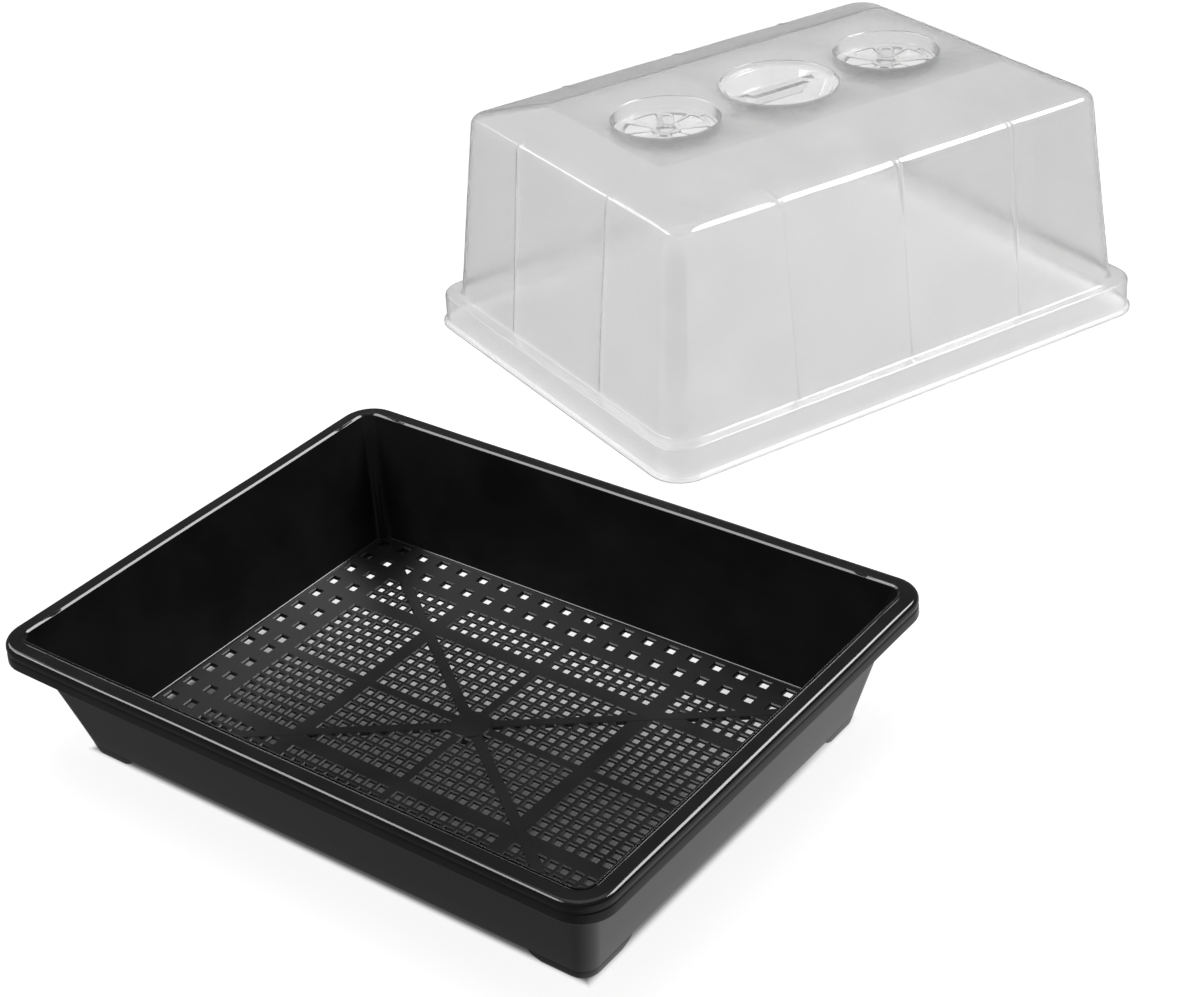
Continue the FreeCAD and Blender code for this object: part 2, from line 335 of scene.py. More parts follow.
def tray_section():
    """Closed section of the tray: inner wall, ridge, rim, grooved lip, outer wall and base."""
    top, corner, rim = TRAY_DRAFT, INNER_CORNER, RIM_CORNER
    edge = TRAY_DRAFT + RIM_WIDTH
    lip = RIM_TOP - LIP_DEPTH
    under = RIM_TOP - TRAY_WALL
    seam = 0.3 * MM
    return [
        wall_row(-PLATE_INSET, FLOOR_TOP, seam),
        wall_row(0, FLOOR_TOP, corner, 1.2 * MM),
        wall_row(top, RIM_TOP, corner, 0.1 * MM),
        wall_row(top + 0.1 * MM, RIM_TOP + 0.2 * MM, corner, 0.15 * MM),
        wall_row(top + 1.2 * MM, RIM_TOP + RIDGE_HEIGHT, corner + 1.2 * MM, 0.3 * MM),
        wall_row(top + RIDGE_WIDTH + 0.2 * MM, RIM_TOP + RIDGE_HEIGHT, corner + RIDGE_WIDTH, 0.1 * MM),
        wall_row(top + RIDGE_WIDTH + 0.4 * MM, RIM_TOP, corner + RIDGE_WIDTH, 0.2 * MM),
        wall_row(edge, RIM_TOP, rim, 3.0 * MM),
        wall_row(edge, RIM_TOP - 3.8 * MM, rim, 0.4 * MM),
        wall_row(edge - LIP_GROOVE, RIM_TOP - 4.4 * MM, rim, 0.3 * MM),
        wall_row(edge - LIP_GROOVE, RIM_TOP - 5.4 * MM, rim, 0.3 * MM),
        wall_row(edge, RIM_TOP - 6.0 * MM, rim, 0.4 * MM),
        wall_row(edge + 0.2 * MM, lip, rim, 0.7 * MM),
        wall_row(edge - TRAY_WALL, lip, rim - TRAY_WALL, 0.7 * MM),
        wall_row(edge - TRAY_WALL, under, rim - TRAY_WALL, 1.5 * MM),
        wall_row(top + TRAY_WALL, under, corner + TRAY_WALL, 2.0 * MM),
        wall_row(TRAY_WALL, FLOOR_TOP, corner + TRAY_WALL, 2.0 * MM),
        wall_row(0.5 * MM, FOOT_HEIGHT, corner + 0.5 * MM, 0.8 * MM),
        wall_row(-PLATE_INSET, FOOT_HEIGHT, seam),
    ]


def ridge_step(point, row):
    """Drops the ridge's top at the small gaps where it meets each corner's separate length."""
    if row[3] < RIM_TOP + RIDGE_STEP:
        return point
    gap_x = abs(abs(point.x) - (FLOOR_HALF_X - RIDGE_GAP))
    gap_y = abs(abs(point.y) - (FLOOR_HALF_Y - RIDGE_GAP))
    gap = gap_x if abs(point.y) > FLOOR_HALF_Y else gap_y
    if gap < RIDGE_GAP_HALF:
        return Vector((point.x, point.y, RIM_TOP + RIDGE_STEP))
    return point


def tray_walls(material):
    """Walls, ridge, rim and lip of the tray."""
    def along(half):
        gaps = [side * (half - RIDGE_GAP) + step * MM for side in (-1, 1) for step in (-1, -0.5, 0.5, 1)]
        return sorted(spaced(-half + WALL_STEP, half - WALL_STEP, WALL_STEP) + gaps)

    skin = Skin()
    rows = []
    for row in rounded_rows(tray_section()):
        ring = rounded_ring(row, along(FLOOR_HALF_X), along(FLOOR_HALF_Y))
        lift = ease(row[3], FLOOR_TOP, FLOOR_TOP + 20 * MM)
        rows.append(skin.row([wavy(ridge_step(p, row), TRAY_WAVE, TRAY_UNEVEN * lift) for p in ring]))
    for first, second in zip(rows, rows[1:] + rows[:1]):
        skin.strip(first, second)
    return skin.piece("tray_walls", material, 40)


def corner_feet(material):
    """Four L-shaped feet that carry the walls' corners down to the ground, their ends sloped."""
    draft = TRAY_DRAFT / (RIM_TOP - FLOOR_TOP)
    section = []
    for z, slope in ((7.5 * MM, -0.3), (5 * MM, -0.1), (3 * MM, 0.15), (1.8 * MM, 0.55), (0.8 * MM, 0.9)):
        proud = 0.12 * MM if z < 6 * MM else -0.2 * MM
        section.append((TRAY_WALL + (z - FLOOR_TOP) * draft + proud, z, slope))
    section += [(0, 0, 1), (0.8 * MM - FOOT_WIDTH, 0, 1), (-FOOT_WIDTH, 0.8 * MM, 0.9),
                (-FOOT_WIDTH, FOOT_HEIGHT + 0.5 * MM, 0), (1 * MM, FOOT_HEIGHT + 0.5 * MM, 0),
                (1.5 * MM, 7.4 * MM, -0.3)]
    skin = Skin()
    for sx, sy in ((1, 1), (-1, 1), (-1, -1), (1, -1)):
        rows = []
        for out, z, slope in section:
            reach = FOOT_REACH - slope * FOOT_SLOPE
            radius = INNER_CORNER + (TRAY_WALL if out > 0 else out)
            centre_x, centre_y = FLOOR_HALF_X + out - radius, FLOOR_HALF_Y + out - radius
            path = [Vector((FLOOR_HALF_X - reach, FLOOR_HALF_Y + out, z))]
            for k in range(CORNER_STEPS, -1, -1):
                angle = k / CORNER_STEPS * pi / 2
                path.append(Vector((centre_x + radius * cos(angle), centre_y + radius * sin(angle), z)))
            path.append(Vector((FLOOR_HALF_X + out, FLOOR_HALF_Y - reach, z)))
            rows.append(skin.row([Vector((sx * p.x, sy * p.y, p.z)) for p in path]))
        for first, second in zip(rows, rows[1:] + rows[:1]):
            skin.strip(first, second, closed=False)
        for end in (0, -1):
            skin.faces.append(tuple(row[end] for row in rows))
    return skin.piece("tray_corner_feet", material, 40)


# ---------------------------------------------------------------- mesh floor

def hole_sizes():
    """Size of the hole at each place of the mesh, in pitches from the middle, for one quarter."""
    holes = {(x, y): HOLE for x in LONG_COLUMNS for y in SHORT_ROWS}
    holes = {place: size for place, size in holes.items() if hypot(*place) * PITCH > BOSS + HOLE / 2}
    edge_places = [(x, y) for x in EDGE_COLUMNS for y in EDGE_LINES[:2]]
    edge_places += [(x, y) for x in EDGE_COLUMNS[:2] for y in EDGE_LINES]
    holes.update({place: EDGE_HOLE for place in edge_places})
    return holes


def add_hole(skin, x, y, size, top, bottom):
    """Square hole with a bevelled lip, from the corners of its cell on the upper and lower face."""
    def square(half, z):
        return skin.row([Vector((x + sx * half, y + sy * half, z))
                         for sx, sy in ((-1, -1), (1, -1), (1, 1), (-1, 1))])

    half = size / 2
    rows = [top, square(half + HOLE_BEVEL, FLOOR_TOP), square(half, FLOOR_TOP - HOLE_BEVEL),
            square(half, FOOT_HEIGHT), bottom]
    for first, second in zip(rows, rows[1:]):
        skin.strip(first, second)


def mesh_plate(material):
    """Floor plate as a grid of cells, each solid or with a bevelled square hole."""
    def lines(count, half):
        inner = [(CELL_START + k) * PITCH for k in range(count)]
        return [-half] + [-v for v in reversed(inner)] + inner + [half]

    skin = Skin()
    xs = lines(HALF_COLUMNS, FLOOR_HALF_X - PLATE_INSET)
    ys = lines(HALF_ROWS, FLOOR_HALF_Y - PLATE_INSET)
    top = [skin.row([Vector((x, y, FLOOR_TOP)) for x in xs]) for y in ys]
    bottom = [skin.row([Vector((x, y, FOOT_HEIGHT)) for x in xs]) for y in ys]
    holes = hole_sizes()
    for j in range(len(ys) - 1):
        for i in range(len(xs) - 1):
            x, y = (xs[i] + xs[i + 1]) / 2, (ys[j] + ys[j + 1]) / 2
            upper, lower = [[face[j][i], face[j][i + 1], face[j + 1][i + 1], face[j + 1][i]]
                            for face in (top, bottom)]
            place = (round(abs(x) / PITCH * 4) / 4, round(abs(y) / PITCH * 4) / 4)
            narrow = min(xs[i + 1] - xs[i], ys[j + 1] - ys[j]) <= 0.9 * PITCH
            if place in holes and not narrow:
                add_hole(skin, x, y, holes[place], upper, lower)
            else:
                skin.faces += [tuple(upper), tuple(lower[::-1])]
    return skin.piece("mesh_plate", material, 20)


def floor_bands(material):
    """Diagonal bands across the mesh, the ribs under it, and the middle boss with its foot."""
    skin = Skin()
    reach_x, reach_y = EDGE_COLUMNS[1] * PITCH, EDGE_LINES[1] * PITCH
    slope = Vector((FLOOR_HALF_X, FLOOR_HALF_Y, 0)).normalized()
    reach = hypot(reach_x, reach_y) - PITCH
    low, high = FOOT_HEIGHT - RIB_DEPTH, FOOT_HEIGHT + 0.4 * MM
    for sy in (-1, 1):
        end = Vector((slope.x, sy * slope.y, 0)) * reach
        skin.bar(-end, end, BAND_WIDTH, FOOT_HEIGHT + 0.1 * MM, FLOOR_TOP + BAND_RISE, 0.5 * MM)
        skin.bar(-end, end, RIB_WIDTH, low, high)
    for band in (-LONG_BAND, 0, LONG_BAND):
        x = band * PITCH
        skin.bar(Vector((x, -reach_y, 0)), Vector((x, reach_y, 0)), RIB_WIDTH, low, high)
    for band in (-SHORT_BAND, 0, SHORT_BAND):
        y = band * PITCH
        skin.bar(Vector((-reach_x, y, 0)), Vector((reach_x, y, 0)), RIB_WIDTH, low, high)
    rise = FLOOR_TOP + 4 * BAND_RISE
    skin.turned([(BOSS - 0.6 * MM, 0), (BOSS, 0.6 * MM), (BOSS, FLOOR_TOP), (BOSS - 0.6 * MM, rise),
                 (BOSS - 2.2 * MM, rise), (BOSS - 2.8 * MM, rise - BAND_RISE), (1 * MM, rise - BAND_RISE)])
    return skin.piece("mesh_bands", material, 20)


# ---------------------------------------------------------------- dome

def skirt_row(inset, z, radius, rounding=0.0):
    """Row of the dome, by how far it lies inside the skirt, and how round its corner is."""
    return (SKIRT_HALF_X - inset, SKIRT_HALF_Y - inset, radius, z, rounding)


def dome_section():
    """Outer face of the dome from its flange over the skirt, ledge, walls and roof to the flat top."""
    return [
        skirt_row(-BEAD_REACH, 0.2 * MM, SKIRT_CORNER + BEAD_REACH),
        skirt_row(-BEAD_REACH, 2.4 * MM, SKIRT_CORNER + BEAD_REACH, 0.9 * MM),
        skirt_row(0, BEAD_HEIGHT, SKIRT_CORNER, 0.9 * MM),
        skirt_row(0.2 * MM, LEDGE, SKIRT_CORNER, 1.5 * MM),
        skirt_row(WALL_INSET, LEDGE, 20 * MM, 1.8 * MM),
        skirt_row(SHOULDER_INSET, SHOULDER, 15 * MM, 4.5 * MM),
        (TOP_HALF_X, TOP_HALF_Y, TOP_CORNER, dome_top, 2.5 * MM),
        (TOP_HALF_X - 5 * MM, TOP_HALF_Y - 5 * MM, 3 * MM, dome_top, 0),
    ]


def pleat_rise(place, centres, height):
    """Height that the pleat nearest to a place has there."""
    away = min(abs(place - centre) for centre in centres)
    return height * (1 + cos(pi * min(1, away / PLEAT_HALF))) / 2


def pleat_places(limit, centres):
    """Places along a side, close together at each pleat."""
    steps = [k / 4 * PLEAT_HALF for k in range(-4, 5)]
    places = [centre + step for centre in centres for step in steps]
    places += [v for v in spaced(-limit, limit, 10 * MM)
               if min(abs(v - centre) for centre in centres) > 1.5 * PLEAT_HALF]
    return sorted(places)


def pleated(row, slope):
    """Ring of a dome row with its pleats raised along the wall's outward slope."""
    z = row[3]
    rise = ease(z, LEDGE - 1 * MM, LEDGE + 2 * MM) * (1 - ease(z, SHOULDER - 1 * MM, SHOULDER + 5 * MM))
    ring = rounded_ring(row, pleat_places(STRAIGHT_X, LONG_PLEATS), pleat_places(STRAIGHT_Y, SHORT_PLEATS))
    points = []
    for p in ring:
        side = Vector((0, 0, 0))
        if abs(p.x) < PLEATED_X:
            side = Vector((0, 1 if p.y > 0 else -1, 0)) * pleat_rise(p.x, LONG_PLEATS, LONG_PLEAT_HEIGHT)
        elif abs(p.y) < PLEATED_Y:
            side = Vector((1 if p.x > 0 else -1, 0, 0)) * pleat_rise(p.y, SHORT_PLEATS, SHORT_PLEAT_HEIGHT)
        out = side * slope.x + Vector((0, 0, 1)) * slope.y * side.length
        loose = ease(z, LEDGE, LEDGE + 25 * MM) * (1 - ease(z, dome_top - 6 * MM, dome_top))
        points.append(wavy(p + out * rise, DOME_WAVE, DOME_UNEVEN * loose))
    return points


def circle(radius, z, x=0.0):
    """Points round a circle, counter-clockwise."""
    angles = [2 * pi * k / TURN_STEPS for k in range(TURN_STEPS)]
    return [Vector((x + radius * cos(a), radius * sin(a), z)) for a in angles]


def fill(skin, outer, holes):
    """Flat faces between a closed row of points and the holes in it."""
    edit = bmesh.new()
    numbers = {}
    for row in [outer] + holes:
        verts = [edit.verts.new(skin.points[n]) for n in row]
        numbers.update(zip(verts, row))
        for first, second in zip(verts, verts[1:] + verts[:1]):
            edit.edges.new((first, second))
    bmesh.ops.triangle_fill(edit, edges=edit.edges, use_beauty=True)
    skin.faces += [tuple(numbers[v] for v in face.verts) for face in edit.faces]
    edit.free()


def in_slots(first):
    """Steps round a vent that its four slots take up, the first slot's middle at a given step."""
    quarter = TURN_STEPS // 4
    return {(first + k * quarter + step) % TURN_STEPS
            for k in range(4) for step in range(-SLOT_STEPS, SLOT_STEPS)}


def vent_well(skin, x):
    """Round well with slots and a bore in its floor. Gives the circle where it meets the top."""
    lip, foot = 1.2 * MM, 1.5 * MM
    section = [(VENT_RADIUS + lip, dome_top), (VENT_RADIUS + 0.4 * lip, dome_top - 0.3 * lip),
               (VENT_RADIUS, dome_top - lip), (VENT_RADIUS, WELL_FLOOR + foot),
               (VENT_RADIUS - 0.4 * foot, WELL_FLOOR + 0.4 * foot), (VENT_RADIUS - foot, WELL_FLOOR),
               (SLOT_OUTER, WELL_FLOOR)]
    section += [(radius, WELL_FLOOR) for radius in (22 * MM, 17.5 * MM, 13 * MM, SLOT_INNER, BORE)]
    rows = [skin.row(circle(radius, z, x)) for radius, z in section]
    slots = in_slots(TURN_STEPS // 8)
    for first, second, (radius, z) in zip(rows, rows[1:], section[1:]):
        slotted = SLOT_INNER <= radius < SLOT_OUTER
        skin.strip(first, second, skip=slots if slotted else ())
    return rows[0]


def pocket(radius, chord, z, side):
    """Outline of a finger pocket: a wide arc closed by a straight edge, its two corners rounded."""
    fillet = POCKET_FILLET
    corner_x = sqrt((radius - fillet) ** 2 - (chord + fillet) ** 2)
    turn = atan2(chord + fillet, corner_x)
    outline = [Vector((corner_x * k / BAR_STEPS, chord, z)) for k in range(-BAR_STEPS, BAR_STEPS)]
    for k in range(FILLET_STEPS + 1):
        angle = -pi / 2 + (turn + pi / 2) * k / FILLET_STEPS
        outline.append(Vector((corner_x + fillet * cos(angle), chord + fillet + fillet * sin(angle), z)))
    for k in range(1, ARC_STEPS):
        angle = turn + (pi - 2 * turn) * k / ARC_STEPS
        outline.append(Vector((radius * cos(angle), radius * sin(angle), z)))
    for k in range(FILLET_STEPS):
        angle = pi - turn + (turn + pi / 2) * k / FILLET_STEPS
        outline.append(Vector((-corner_x + fillet * cos(angle), chord + fillet + fillet * sin(angle), z)))
    return [Vector((p.x, side * p.y, p.z)) for p in outline]


def finger_grip(skin):
    """Round recess with two finger pockets either side of a bar. Gives the circle at the top."""
    step = dome_top - GRIP_RECESS
    low = dome_top - POCKET_DEPTH
    section = [(GRIP_RADIUS + 1.0 * MM, dome_top), (GRIP_RADIUS + 0.3 * MM, dome_top - 0.3 * MM),
               (GRIP_RADIUS, dome_top - 1.0 * MM), (GRIP_RADIUS, step + 1.0 * MM),
               (GRIP_RADIUS - 0.3 * MM, step + 0.3 * MM), (GRIP_RADIUS - 1.0 * MM, step)]
    rows = [skin.row(circle(radius, z)) for radius, z in section]
    for first, second in zip(rows, rows[1:]):
        skin.strip(first, second)
    mouths = []
    for side in (-1, 1):
        deep = POCKET_RADIUS - POCKET_DRAFT
        shape = [(POCKET_RADIUS + 0.8 * MM, BAR_HALF - 0.8 * MM, step),
                 (POCKET_RADIUS + 0.2 * MM, BAR_HALF - 0.2 * MM, step - 0.2 * MM),
                 (POCKET_RADIUS - 0.3 * MM, BAR_HALF, step - 0.9 * MM),
                 (deep + 0.6 * MM, BAR_HALF + 0.8 * MM, low + 1.6 * MM),
                 (deep - 0.2 * MM, BAR_HALF + 1.2 * MM, low + 0.4 * MM),
                 (deep - 1.6 * MM, BAR_HALF + 2.6 * MM, low)]
        outlines = [skin.row(pocket(radius, chord, z, side)) for radius, chord, z in shape]
        for first, second in zip(outlines, outlines[1:]):
            skin.strip(first, second)
        fill(skin, outlines[-1], [])
        mouths.append(outlines[0])
    fill(skin, rows[-1], mouths)
    return rows[0]


def dome_shell(material):
    """Clear dome: pleated walls and roof, flat top, finger grip and two vent wells."""
    skin = Skin()
    section = rounded_rows(dome_section())
    rows = []
    for k, row in enumerate(section):
        before, after = section[max(0, k - 1)], section[min(k + 1, len(section) - 1)]
        slope = Vector((after[3] - before[3], before[1] - after[1])).normalized()
        rows.append(skin.row(pleated(row, slope)))
    for first, second in zip(rows, rows[1:]):
        skin.strip(first, second)
    wells = [vent_well(skin, side * vent_offset) for side in (-1, 1)]
    fill(skin, rows[-1], wells + [finger_grip(skin)])
    return skin.piece("dome_clear", material, 50, sheet=WALL, upward=True, place=dome_place)


def stop_lugs(material):
    """Small post in each well that stops its disc at closed and at open."""
    skin = Skin()
    half = LUG_WIDTH / 2
    top = disc_low.z + 5 * MM
    for side in (-1, 1):
        x = side * vent_offset + LUG_RADIUS
        skin.bar(Vector((x, -half, 0)), Vector((x, half, 0)), LUG_WIDTH, WELL_FLOOR - 0.3 * MM, top, 0.5 * MM)
    return skin.piece("vent_stop_lugs", material, 30, place=dome_place)


# ---------------------------------------------------------------- vent discs

def vent_disc(name, side, material):
    """Slotted turning disc with the stop's track and a domed finger knob."""
    skin = Skin()
    x = side * vent_offset
    top = WELL_FLOOR + 0.3 * MM + DISC_THICKNESS
    knob = disc_high.z
    section = [(DISC_RADIUS, top - 0.6 * MM), (DISC_RADIUS - 0.5 * MM, top), (LUG_RADIUS + 2 * MM, top),
               (LUG_RADIUS - 2 * MM, top), (SLOT_OUTER, top), (17.5 * MM, top), (SLOT_INNER, top),
               (KNOB_RADIUS + 1.5 * MM, top), (KNOB_RADIUS + 0.4 * MM, top + 0.5 * MM),
               (KNOB_RADIUS, top + 1.5 * MM), (KNOB_RADIUS - 0.4 * MM, knob - 1.2 * MM),
               (KNOB_RADIUS - 1.4 * MM, knob - 0.2 * MM), (0.5 * MM, knob)]
    rows = [skin.row(circle(radius, z, x)) for radius, z in section]
    slots = in_slots(0)
    track = {step % TURN_STEPS for step in range(-TRACK_STEPS, 1)}
    for first, second, (outer, _), (inner, _) in zip(rows, rows[1:], section, section[1:]):
        skip = ()
        if inner >= SLOT_INNER and outer <= SLOT_OUTER:
            skip = slots
        if outer == LUG_RADIUS + 2 * MM:
            skip = track
        skin.strip(first, second, skip=skip)
    skin.faces.append(tuple(rows[-1]))
    return skin.piece(name, material, 50, sheet=DISC_THICKNESS, upward=True, place=dome_place)


def vent_pin(name, side, material):
    """Pin through the well's floor with its snap ring."""
    skin = Skin()
    low = disc_low.z
    skin.turned([(BORE - 0.4 * MM, low), (BORE + 0.9 * MM, low + 0.3 * MM), (BORE + 0.9 * MM, low + 1 * MM),
                 (BORE - 0.05 * MM, low + 1 * MM), (BORE - 0.05 * MM, WELL_FLOOR + 0.3 * MM)],
                x=side * vent_offset, steps=40)
    return skin.piece(name, material, 30, place=dome_place)


# ---------------------------------------------------------------- materials

def shader(name):
    """New material, its node tree and its Principled shader."""
    material = bpy.data.materials.new(name)
    material.use_nodes = True
    return material, material.node_tree, material.node_tree.nodes["Principled BSDF"]


def noise_over(tree, scale, detail=2.0):
    """Noise over the object's own coordinates, in bumps per metre."""
    place = tree.nodes.new("ShaderNodeTexCoord")
    node = tree.nodes.new("ShaderNodeTexNoise")
    node.inputs["Scale"].default_value = scale
    node.inputs["Detail"].default_value = detail
    tree.links.new(place.outputs["Object"], node.inputs["Vector"])
    return node.outputs["Fac"]


def spread(tree, source, low, high):
    """Maps a noise's usual range to a range of values."""
    node = tree.nodes.new("ShaderNodeMapRange")
    for socket, value in zip(node.inputs[1:5], (NOISE_LOW, NOISE_HIGH, low, high)):
        socket.default_value = value
    tree.links.new(source, node.inputs["Value"])
    return node.outputs["Result"]


def greys(tree, source, low, high):
    """Colour between two greys."""
    ramp = tree.nodes.new("ShaderNodeValToRGB")
    ramp.color_ramp.elements[0].position = NOISE_LOW
    ramp.color_ramp.elements[1].position = NOISE_HIGH
    ramp.color_ramp.elements[0].color = (low, low, low, 1)
    ramp.color_ramp.elements[1].color = (high, high, high, 1)
    tree.links.new(source, ramp.inputs["Fac"])
    return ramp.outputs["Color"]


def math(tree, operation, first, second):
    """Result of a sum on two values, each a number or a socket."""
    node = tree.nodes.new("ShaderNodeMath")
    node.operation = operation
    for socket, value in zip(node.inputs, (first, second)):
        if isinstance(value, (int, float)):
            socket.default_value = value
        else:
            tree.links.new(value, socket)
    return node.outputs[0]


def from_axis(tree, x, y):
    """Distance of a point from an upright axis."""
    return math(tree, "SQRT", math(tree, "ADD", math(tree, "POWER", x, 2), math(tree, "POWER", y, 2)), 0)


def between(tree, value, start, end, low, high):
    """Maps a value from one range to another, smoothly and without passing its ends."""
    node = tree.nodes.new("ShaderNodeMapRange")
    node.interpolation_type = "SMOOTHSTEP"
    for socket, number in zip(node.inputs[1:5], (start, end, low, high)):
        socket.default_value = number
    tree.links.new(value, node.inputs[0])
    return node.outputs["Result"]


def plan(tree, place=None):
    """Sockets for a point's X, Y and Z, on a piece's own axes if it is turned."""
    at = tree.nodes.new("ShaderNodeTexCoord").outputs["Object"]
    if place is not None:
        turn = tree.nodes.new("ShaderNodeMapping")
        turn.vector_type = "TEXTURE"
        turn.inputs["Location"].default_value = place.translation
        turn.inputs["Rotation"].default_value = place.to_euler()
        tree.links.new(at, turn.inputs["Vector"])
        at = turn.outputs["Vector"]
    split = tree.nodes.new("ShaderNodeSeparateXYZ")
    tree.links.new(at, split.inputs[0])
    return list(split.outputs)


def bump(tree, bsdf, source, height, strength):
    """Raises a shader's surface by a texture."""
    node = tree.nodes.new("ShaderNodeBump")
    node.inputs["Distance"].default_value = height
    node.inputs["Strength"].default_value = strength
    tree.links.new(source, node.inputs["Height"])
    tree.links.new(node.outputs["Normal"], bsdf.inputs["Normal"])


def black_plastic(name, dull, gleam):
    """Black moulded plastic with a fine grain, and its gloss uneven around a mean roughness."""
    material, tree, bsdf = shader(name)
    patches = noise_over(tree, 28, 4)
    tree.links.new(greys(tree, patches, 0.005, 0.009), bsdf.inputs["Base Color"])
    tree.links.new(spread(tree, patches, dull - 0.03, dull + 0.03), bsdf.inputs["Roughness"])
    bsdf.inputs["Specular IOR Level"].default_value = gleam
    bump(tree, bsdf, noise_over(tree, 1400), 0.02 * MM, 0.25)
    return material


def clear_plastic(name, shade, haze, ior, gloss):
    """Thin clear plastic, faintly grey and hazy, with slow ripples left by forming."""
    material, tree, bsdf = shader(name)
    patches = noise_over(tree, 22, 3)
    tree.links.new(greys(tree, patches, shade - 0.02, shade + 0.02), bsdf.inputs["Base Color"])
    tree.links.new(spread(tree, patches, 0.16, 0.24), bsdf.inputs["Roughness"])
    bsdf.inputs["Coat Weight"].default_value = gloss
    bsdf.inputs["Coat Roughness"].default_value = 0.06
    bsdf.inputs["IOR"].default_value = ior
    bsdf.inputs["Transmission Weight"].default_value = 1 - haze
    bump(tree, bsdf, noise_over(tree, 40), 0.3 * MM, 0.5)
    return material


def clear_dome():
    """The dome's plastic, its tint clearer and its IOR lower over the grip and wells and a little over the
    skirt: a painted lightening where stacked walls and refracted edges look dark.
    """
    material = clear_plastic("clear_plastic", shade=0.825, haze=0.06, ior=DOME_IOR, gloss=0.6)
    tree = material.node_tree
    bsdf = tree.nodes["Principled BSDF"]
    x, y, z = plan(tree, dome_place)
    # Painted lightening: a clearer tint over the grip, the wells and the skirt's band near the ledge
    beside = math(tree, "SUBTRACT", math(tree, "ABSOLUTE", x, 0), vent_offset)
    grip = between(tree, from_axis(tree, x, y), GRIP_RADIUS - 1 * MM, GRIP_RADIUS + 1 * MM, 1, 0)
    well = between(tree, from_axis(tree, beside, y), VENT_RADIUS - 1 * MM, VENT_RADIUS + 1 * MM, 1, 0)
    skirt = between(tree, z, LEDGE - 1 * MM, LEDGE + 8 * MM, PAINTED_CLEAR_SKIRT, 0)
    painted_clear = math(tree, "MAXIMUM", skirt, math(tree, "MAXIMUM", grip, well))
    clearer = tree.nodes.new("ShaderNodeMix")
    clearer.data_type = "RGBA"
    tree.links.new(painted_clear, clearer.inputs["Factor"])
    tree.links.new(bsdf.inputs["Base Color"].links[0].from_socket, clearer.inputs["A"])
    clearer.inputs["B"].default_value = (PAINTED_CLEAR_GREY, PAINTED_CLEAR_GREY, PAINTED_CLEAR_GREY, 1)
    tree.links.new(clearer.outputs["Result"], bsdf.inputs["Base Color"])
    tree.links.new(between(tree, painted_clear, 0, 1, DOME_IOR, LOW_IOR), bsdf.inputs["IOR"])
    return material


def outside(tree, x, y, half_x, half_y, start, end):
    """0 within a rectangle and 1 beyond it, changing between two shares of its size."""
    out_x = math(tree, "DIVIDE", math(tree, "ABSOLUTE", x, 0), half_x)
    out_y = math(tree, "DIVIDE", math(tree, "ABSOLUTE", y, 0), half_y)
    return between(tree, math(tree, "MAXIMUM", out_x, out_y), start, end, 0, 1)


def pale_floor():
    """Matt pale studio table, lit from below as well as above.

    The light from below is graded under the tray, a painted shade under its front and painted light under its
    back, and is less where the dome stands close above, a painted shadow of the dome.
    """
    material, tree, bsdf = shader("pale_floor")
    tree.links.new(greys(tree, noise_over(tree, 3, 4), 0.86, 0.9), bsdf.inputs["Base Color"])
    bsdf.inputs["Roughness"].default_value = 0.8
    x, y, _ = plan(tree)
    open_floor = outside(tree, x, y, FLOOR_HALF_X, FLOOR_HALF_Y, 0.98, 1.02)
    back = math(tree, "SUBTRACT", y, math(tree, "MULTIPLY", x, 0.25))
    # Painted shade under the tray's front and painted light under its back, seen through the mesh holes
    under = between(tree, back, -25 * MM, 125 * MM, PAINTED_FRONT_GLOW, PAINTED_BACK_GLOW)
    glow = math(tree, "MULTIPLY", open_floor, math(tree, "SUBTRACT", FLOOR_GLOW, under))
    # Painted shadow of the dome on the floor, which fades as the dome lifts away
    dome_open = outside(tree, *plan(tree, dome_place)[:2], SKIRT_HALF_X, SKIRT_HALF_Y, 0.9, 1.06)
    sky = tree.nodes.new("ShaderNodeAmbientOcclusion")
    sky.samples = 4
    sky.inputs["Distance"].default_value = COVER_REACH
    cover = between(tree, sky.outputs["AO"], 0.1, 0.7, 1, 0)
    dome_shade = math(tree, "MULTIPLY", math(tree, "SUBTRACT", 1, dome_open), DOME_SHADE)
    dome_shade = math(tree, "MULTIPLY", dome_shade, cover)
    glow = math(tree, "SUBTRACT", math(tree, "ADD", under, glow), dome_shade)
    tree.links.new(glow, bsdf.inputs["Emission Strength"])
    bsdf.inputs["Emission Color"].default_value = (1, 1, 1, 1)
    return material


# ---------------------------------------------------------------- studio

def studio_floor():
    """Wide pale floor that both pieces stand on, swept up all round into a wall far from them."""
    skin = Skin()
    sweep = [(1, 0), (3, 0), (5, 0), (5.8, 0.15), (6.3, 0.6), (6.5, 1.4), (6.5, 5)]
    rows = [skin.row(circle(radius, z)) for radius, z in sweep]
    for first, second in zip(rows, rows[1:]):
        skin.strip(first, second)
    skin.faces.append(tuple(rows[0]))
    ground = skin.piece("studio_floor", pale_floor(), 60, upward=True)
    ground.location.z = -FLOOR_GAP
    ground.visible_glossy = False
    ground.visible_diffuse = False


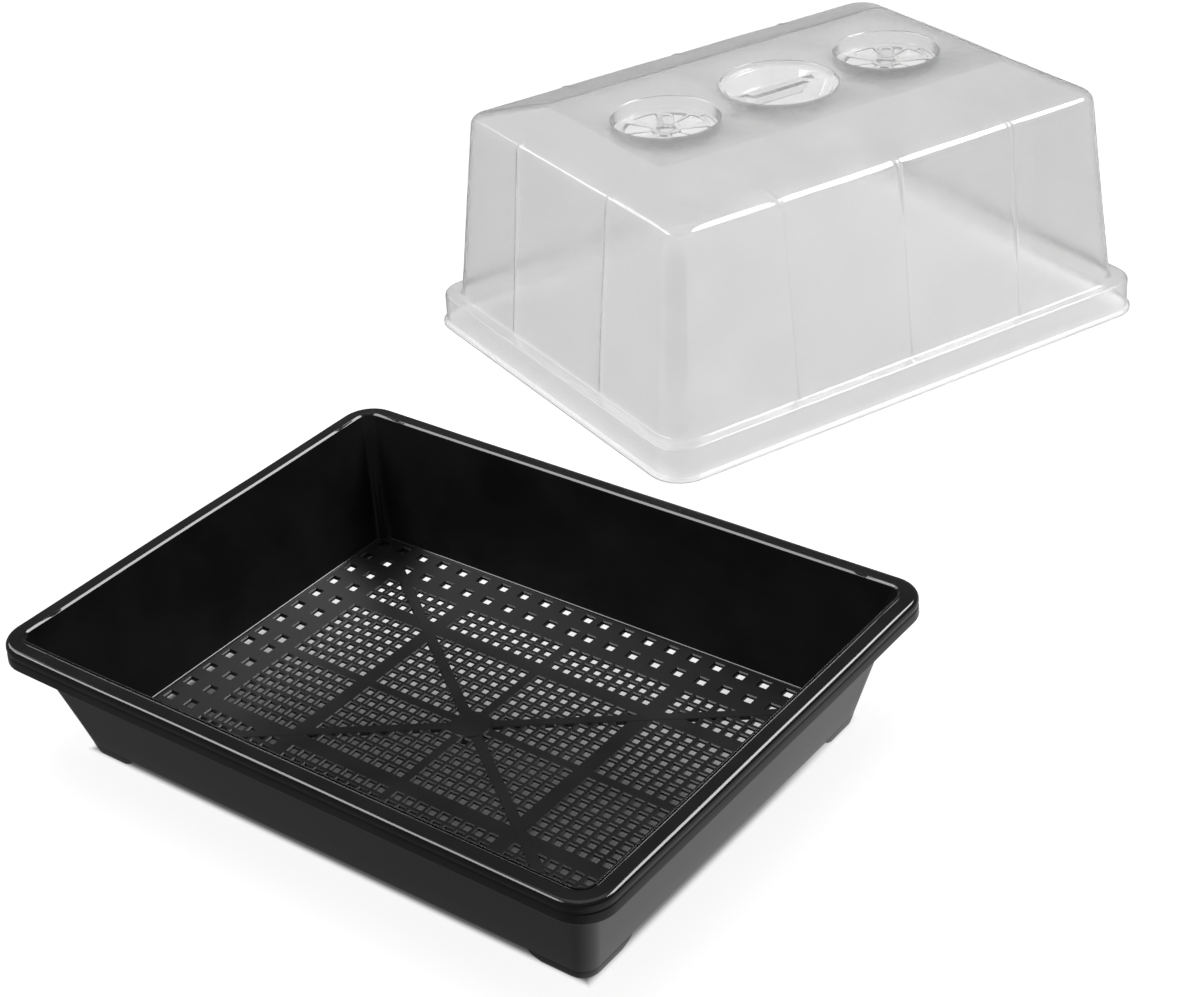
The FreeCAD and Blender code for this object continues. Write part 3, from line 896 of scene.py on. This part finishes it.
def studio_air():
    """Dim surroundings, lighter below the horizon, where the tray's outer walls mirror them."""
    air = bpy.data.worlds.new("studio_air")
    air.use_nodes = True
    tree = air.node_tree
    direction = tree.nodes.new("ShaderNodeSeparateXYZ")
    tree.links.new(tree.nodes.new("ShaderNodeTexCoord").outputs["Generated"], direction.inputs[0])
    x, y, z = direction.outputs
    below = between(tree, math(tree, "ADD", x, y), -0.8, 0.8, BELOW_LEFT - AIR, BELOW_RIGHT - AIR)
    share = between(tree, z, -0.12, -0.03, 1, 0)
    grey = math(tree, "ADD", AIR, math(tree, "MULTIPLY", share, below))
    tree.links.new(grey, tree.nodes["Background"].inputs["Color"])
    bpy.context.scene.world = air
    bpy.context.scene.view_settings.view_transform = "Standard"


def soft_light(name, at, towards, width, height, power, lit=None):
    """Rectangular soft light facing a point, which may light one collection only."""
    data = bpy.data.lights.new(name, "AREA")
    data.shape = "RECTANGLE"
    data.size, data.size_y = width, height
    data.energy = power
    light = bpy.data.objects.new(name, data)
    light.location = at
    light.rotation_euler = (Vector(towards) - Vector(at)).to_track_quat("-Z", "Y").to_euler()
    light.light_linking.receiver_collection = lit
    light.visible_camera = False
    light.visible_transmission = False
    bpy.context.scene.collection.objects.link(light)


def camera(at, around, down, roll, lens):
    """Camera with its direction and roll in degrees."""
    data = bpy.data.cameras.new("camera")
    data.sensor_width = 36
    data.lens = lens
    data.clip_end = 50
    view = bpy.data.objects.new("camera", data)
    view.matrix_world = (Matrix.Translation(at) @ Matrix.Rotation(radians(around), 4, "Z")
                         @ Matrix.Rotation(radians(90 - down), 4, "X")
                         @ Matrix.Rotation(radians(roll), 4, "Z"))
    bpy.context.scene.collection.objects.link(view)
    bpy.context.scene.camera = view


# ---------------------------------------------------------------- putting it together

def fit_out(body, slot, pieces, *nodes):
    """Lets pieces ride on a body and stand for its CAD nodes."""
    for piece in pieces:
        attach(piece, body)
        plastics.objects.link(piece)
    if nodes:
        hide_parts(*nodes)


noise.seed_set(NOISE_SEED)
plastics = bpy.data.collections.new("plastics")
black = black_plastic("black_plastic", BLACK_ROUGHNESS, BLACK_GLEAM)
black_mesh = black_plastic("black_plastic_mesh", MESH_ROUGHNESS, MESH_GLEAM)
clear = clear_dome()
clear_vent = clear_plastic("clear_vent", shade=0.96, haze=0.04, ior=LOW_IOR, gloss=0.12)
fit_out("tray", "black_plastic", [tray_walls(black), corner_feet(black)], "tray_shell")
fit_out("tray", "black_plastic_mesh", [mesh_plate(black_mesh), floor_bands(black_mesh)], "mesh_floor")
fit_out("dome", "clear_plastic", [dome_shell(clear), stop_lugs(clear)], "dome_shell")
for side, name in ((-1, "left"), (1, "right")):
    pieces = [vent_disc("vent_disc_clear_" + name, side, clear_vent),
              vent_pin("vent_pin_clear_" + name, side, clear_vent)]
    fit_out("vent_" + name, "clear_vent", pieces, "vent_disc_" + name)

studio_floor()
studio_air()
soft_light("front_left", (-1.2, -0.85, 1.7), (0, 0, 0.05), width=1.7, height=0.8, power=45, lit=plastics)
soft_light("back_right", (0.75, 1.35, 1.75), (0, 0.2, 0.1), width=1.6, height=0.8, power=65, lit=plastics)
soft_light("left", (-2.1, 0.1, 1.5), (-0.1, 0.4, 0.1), width=0.8, height=0.8, power=10, lit=plastics)
soft_light("overhead", (-0.2, 0.3, 2.6), (0, 0.2, 0), width=2, height=2, power=12)
camera((0.632, -0.685, 0.701), around=38.56, down=31.43, roll=-4, lens=70.3)
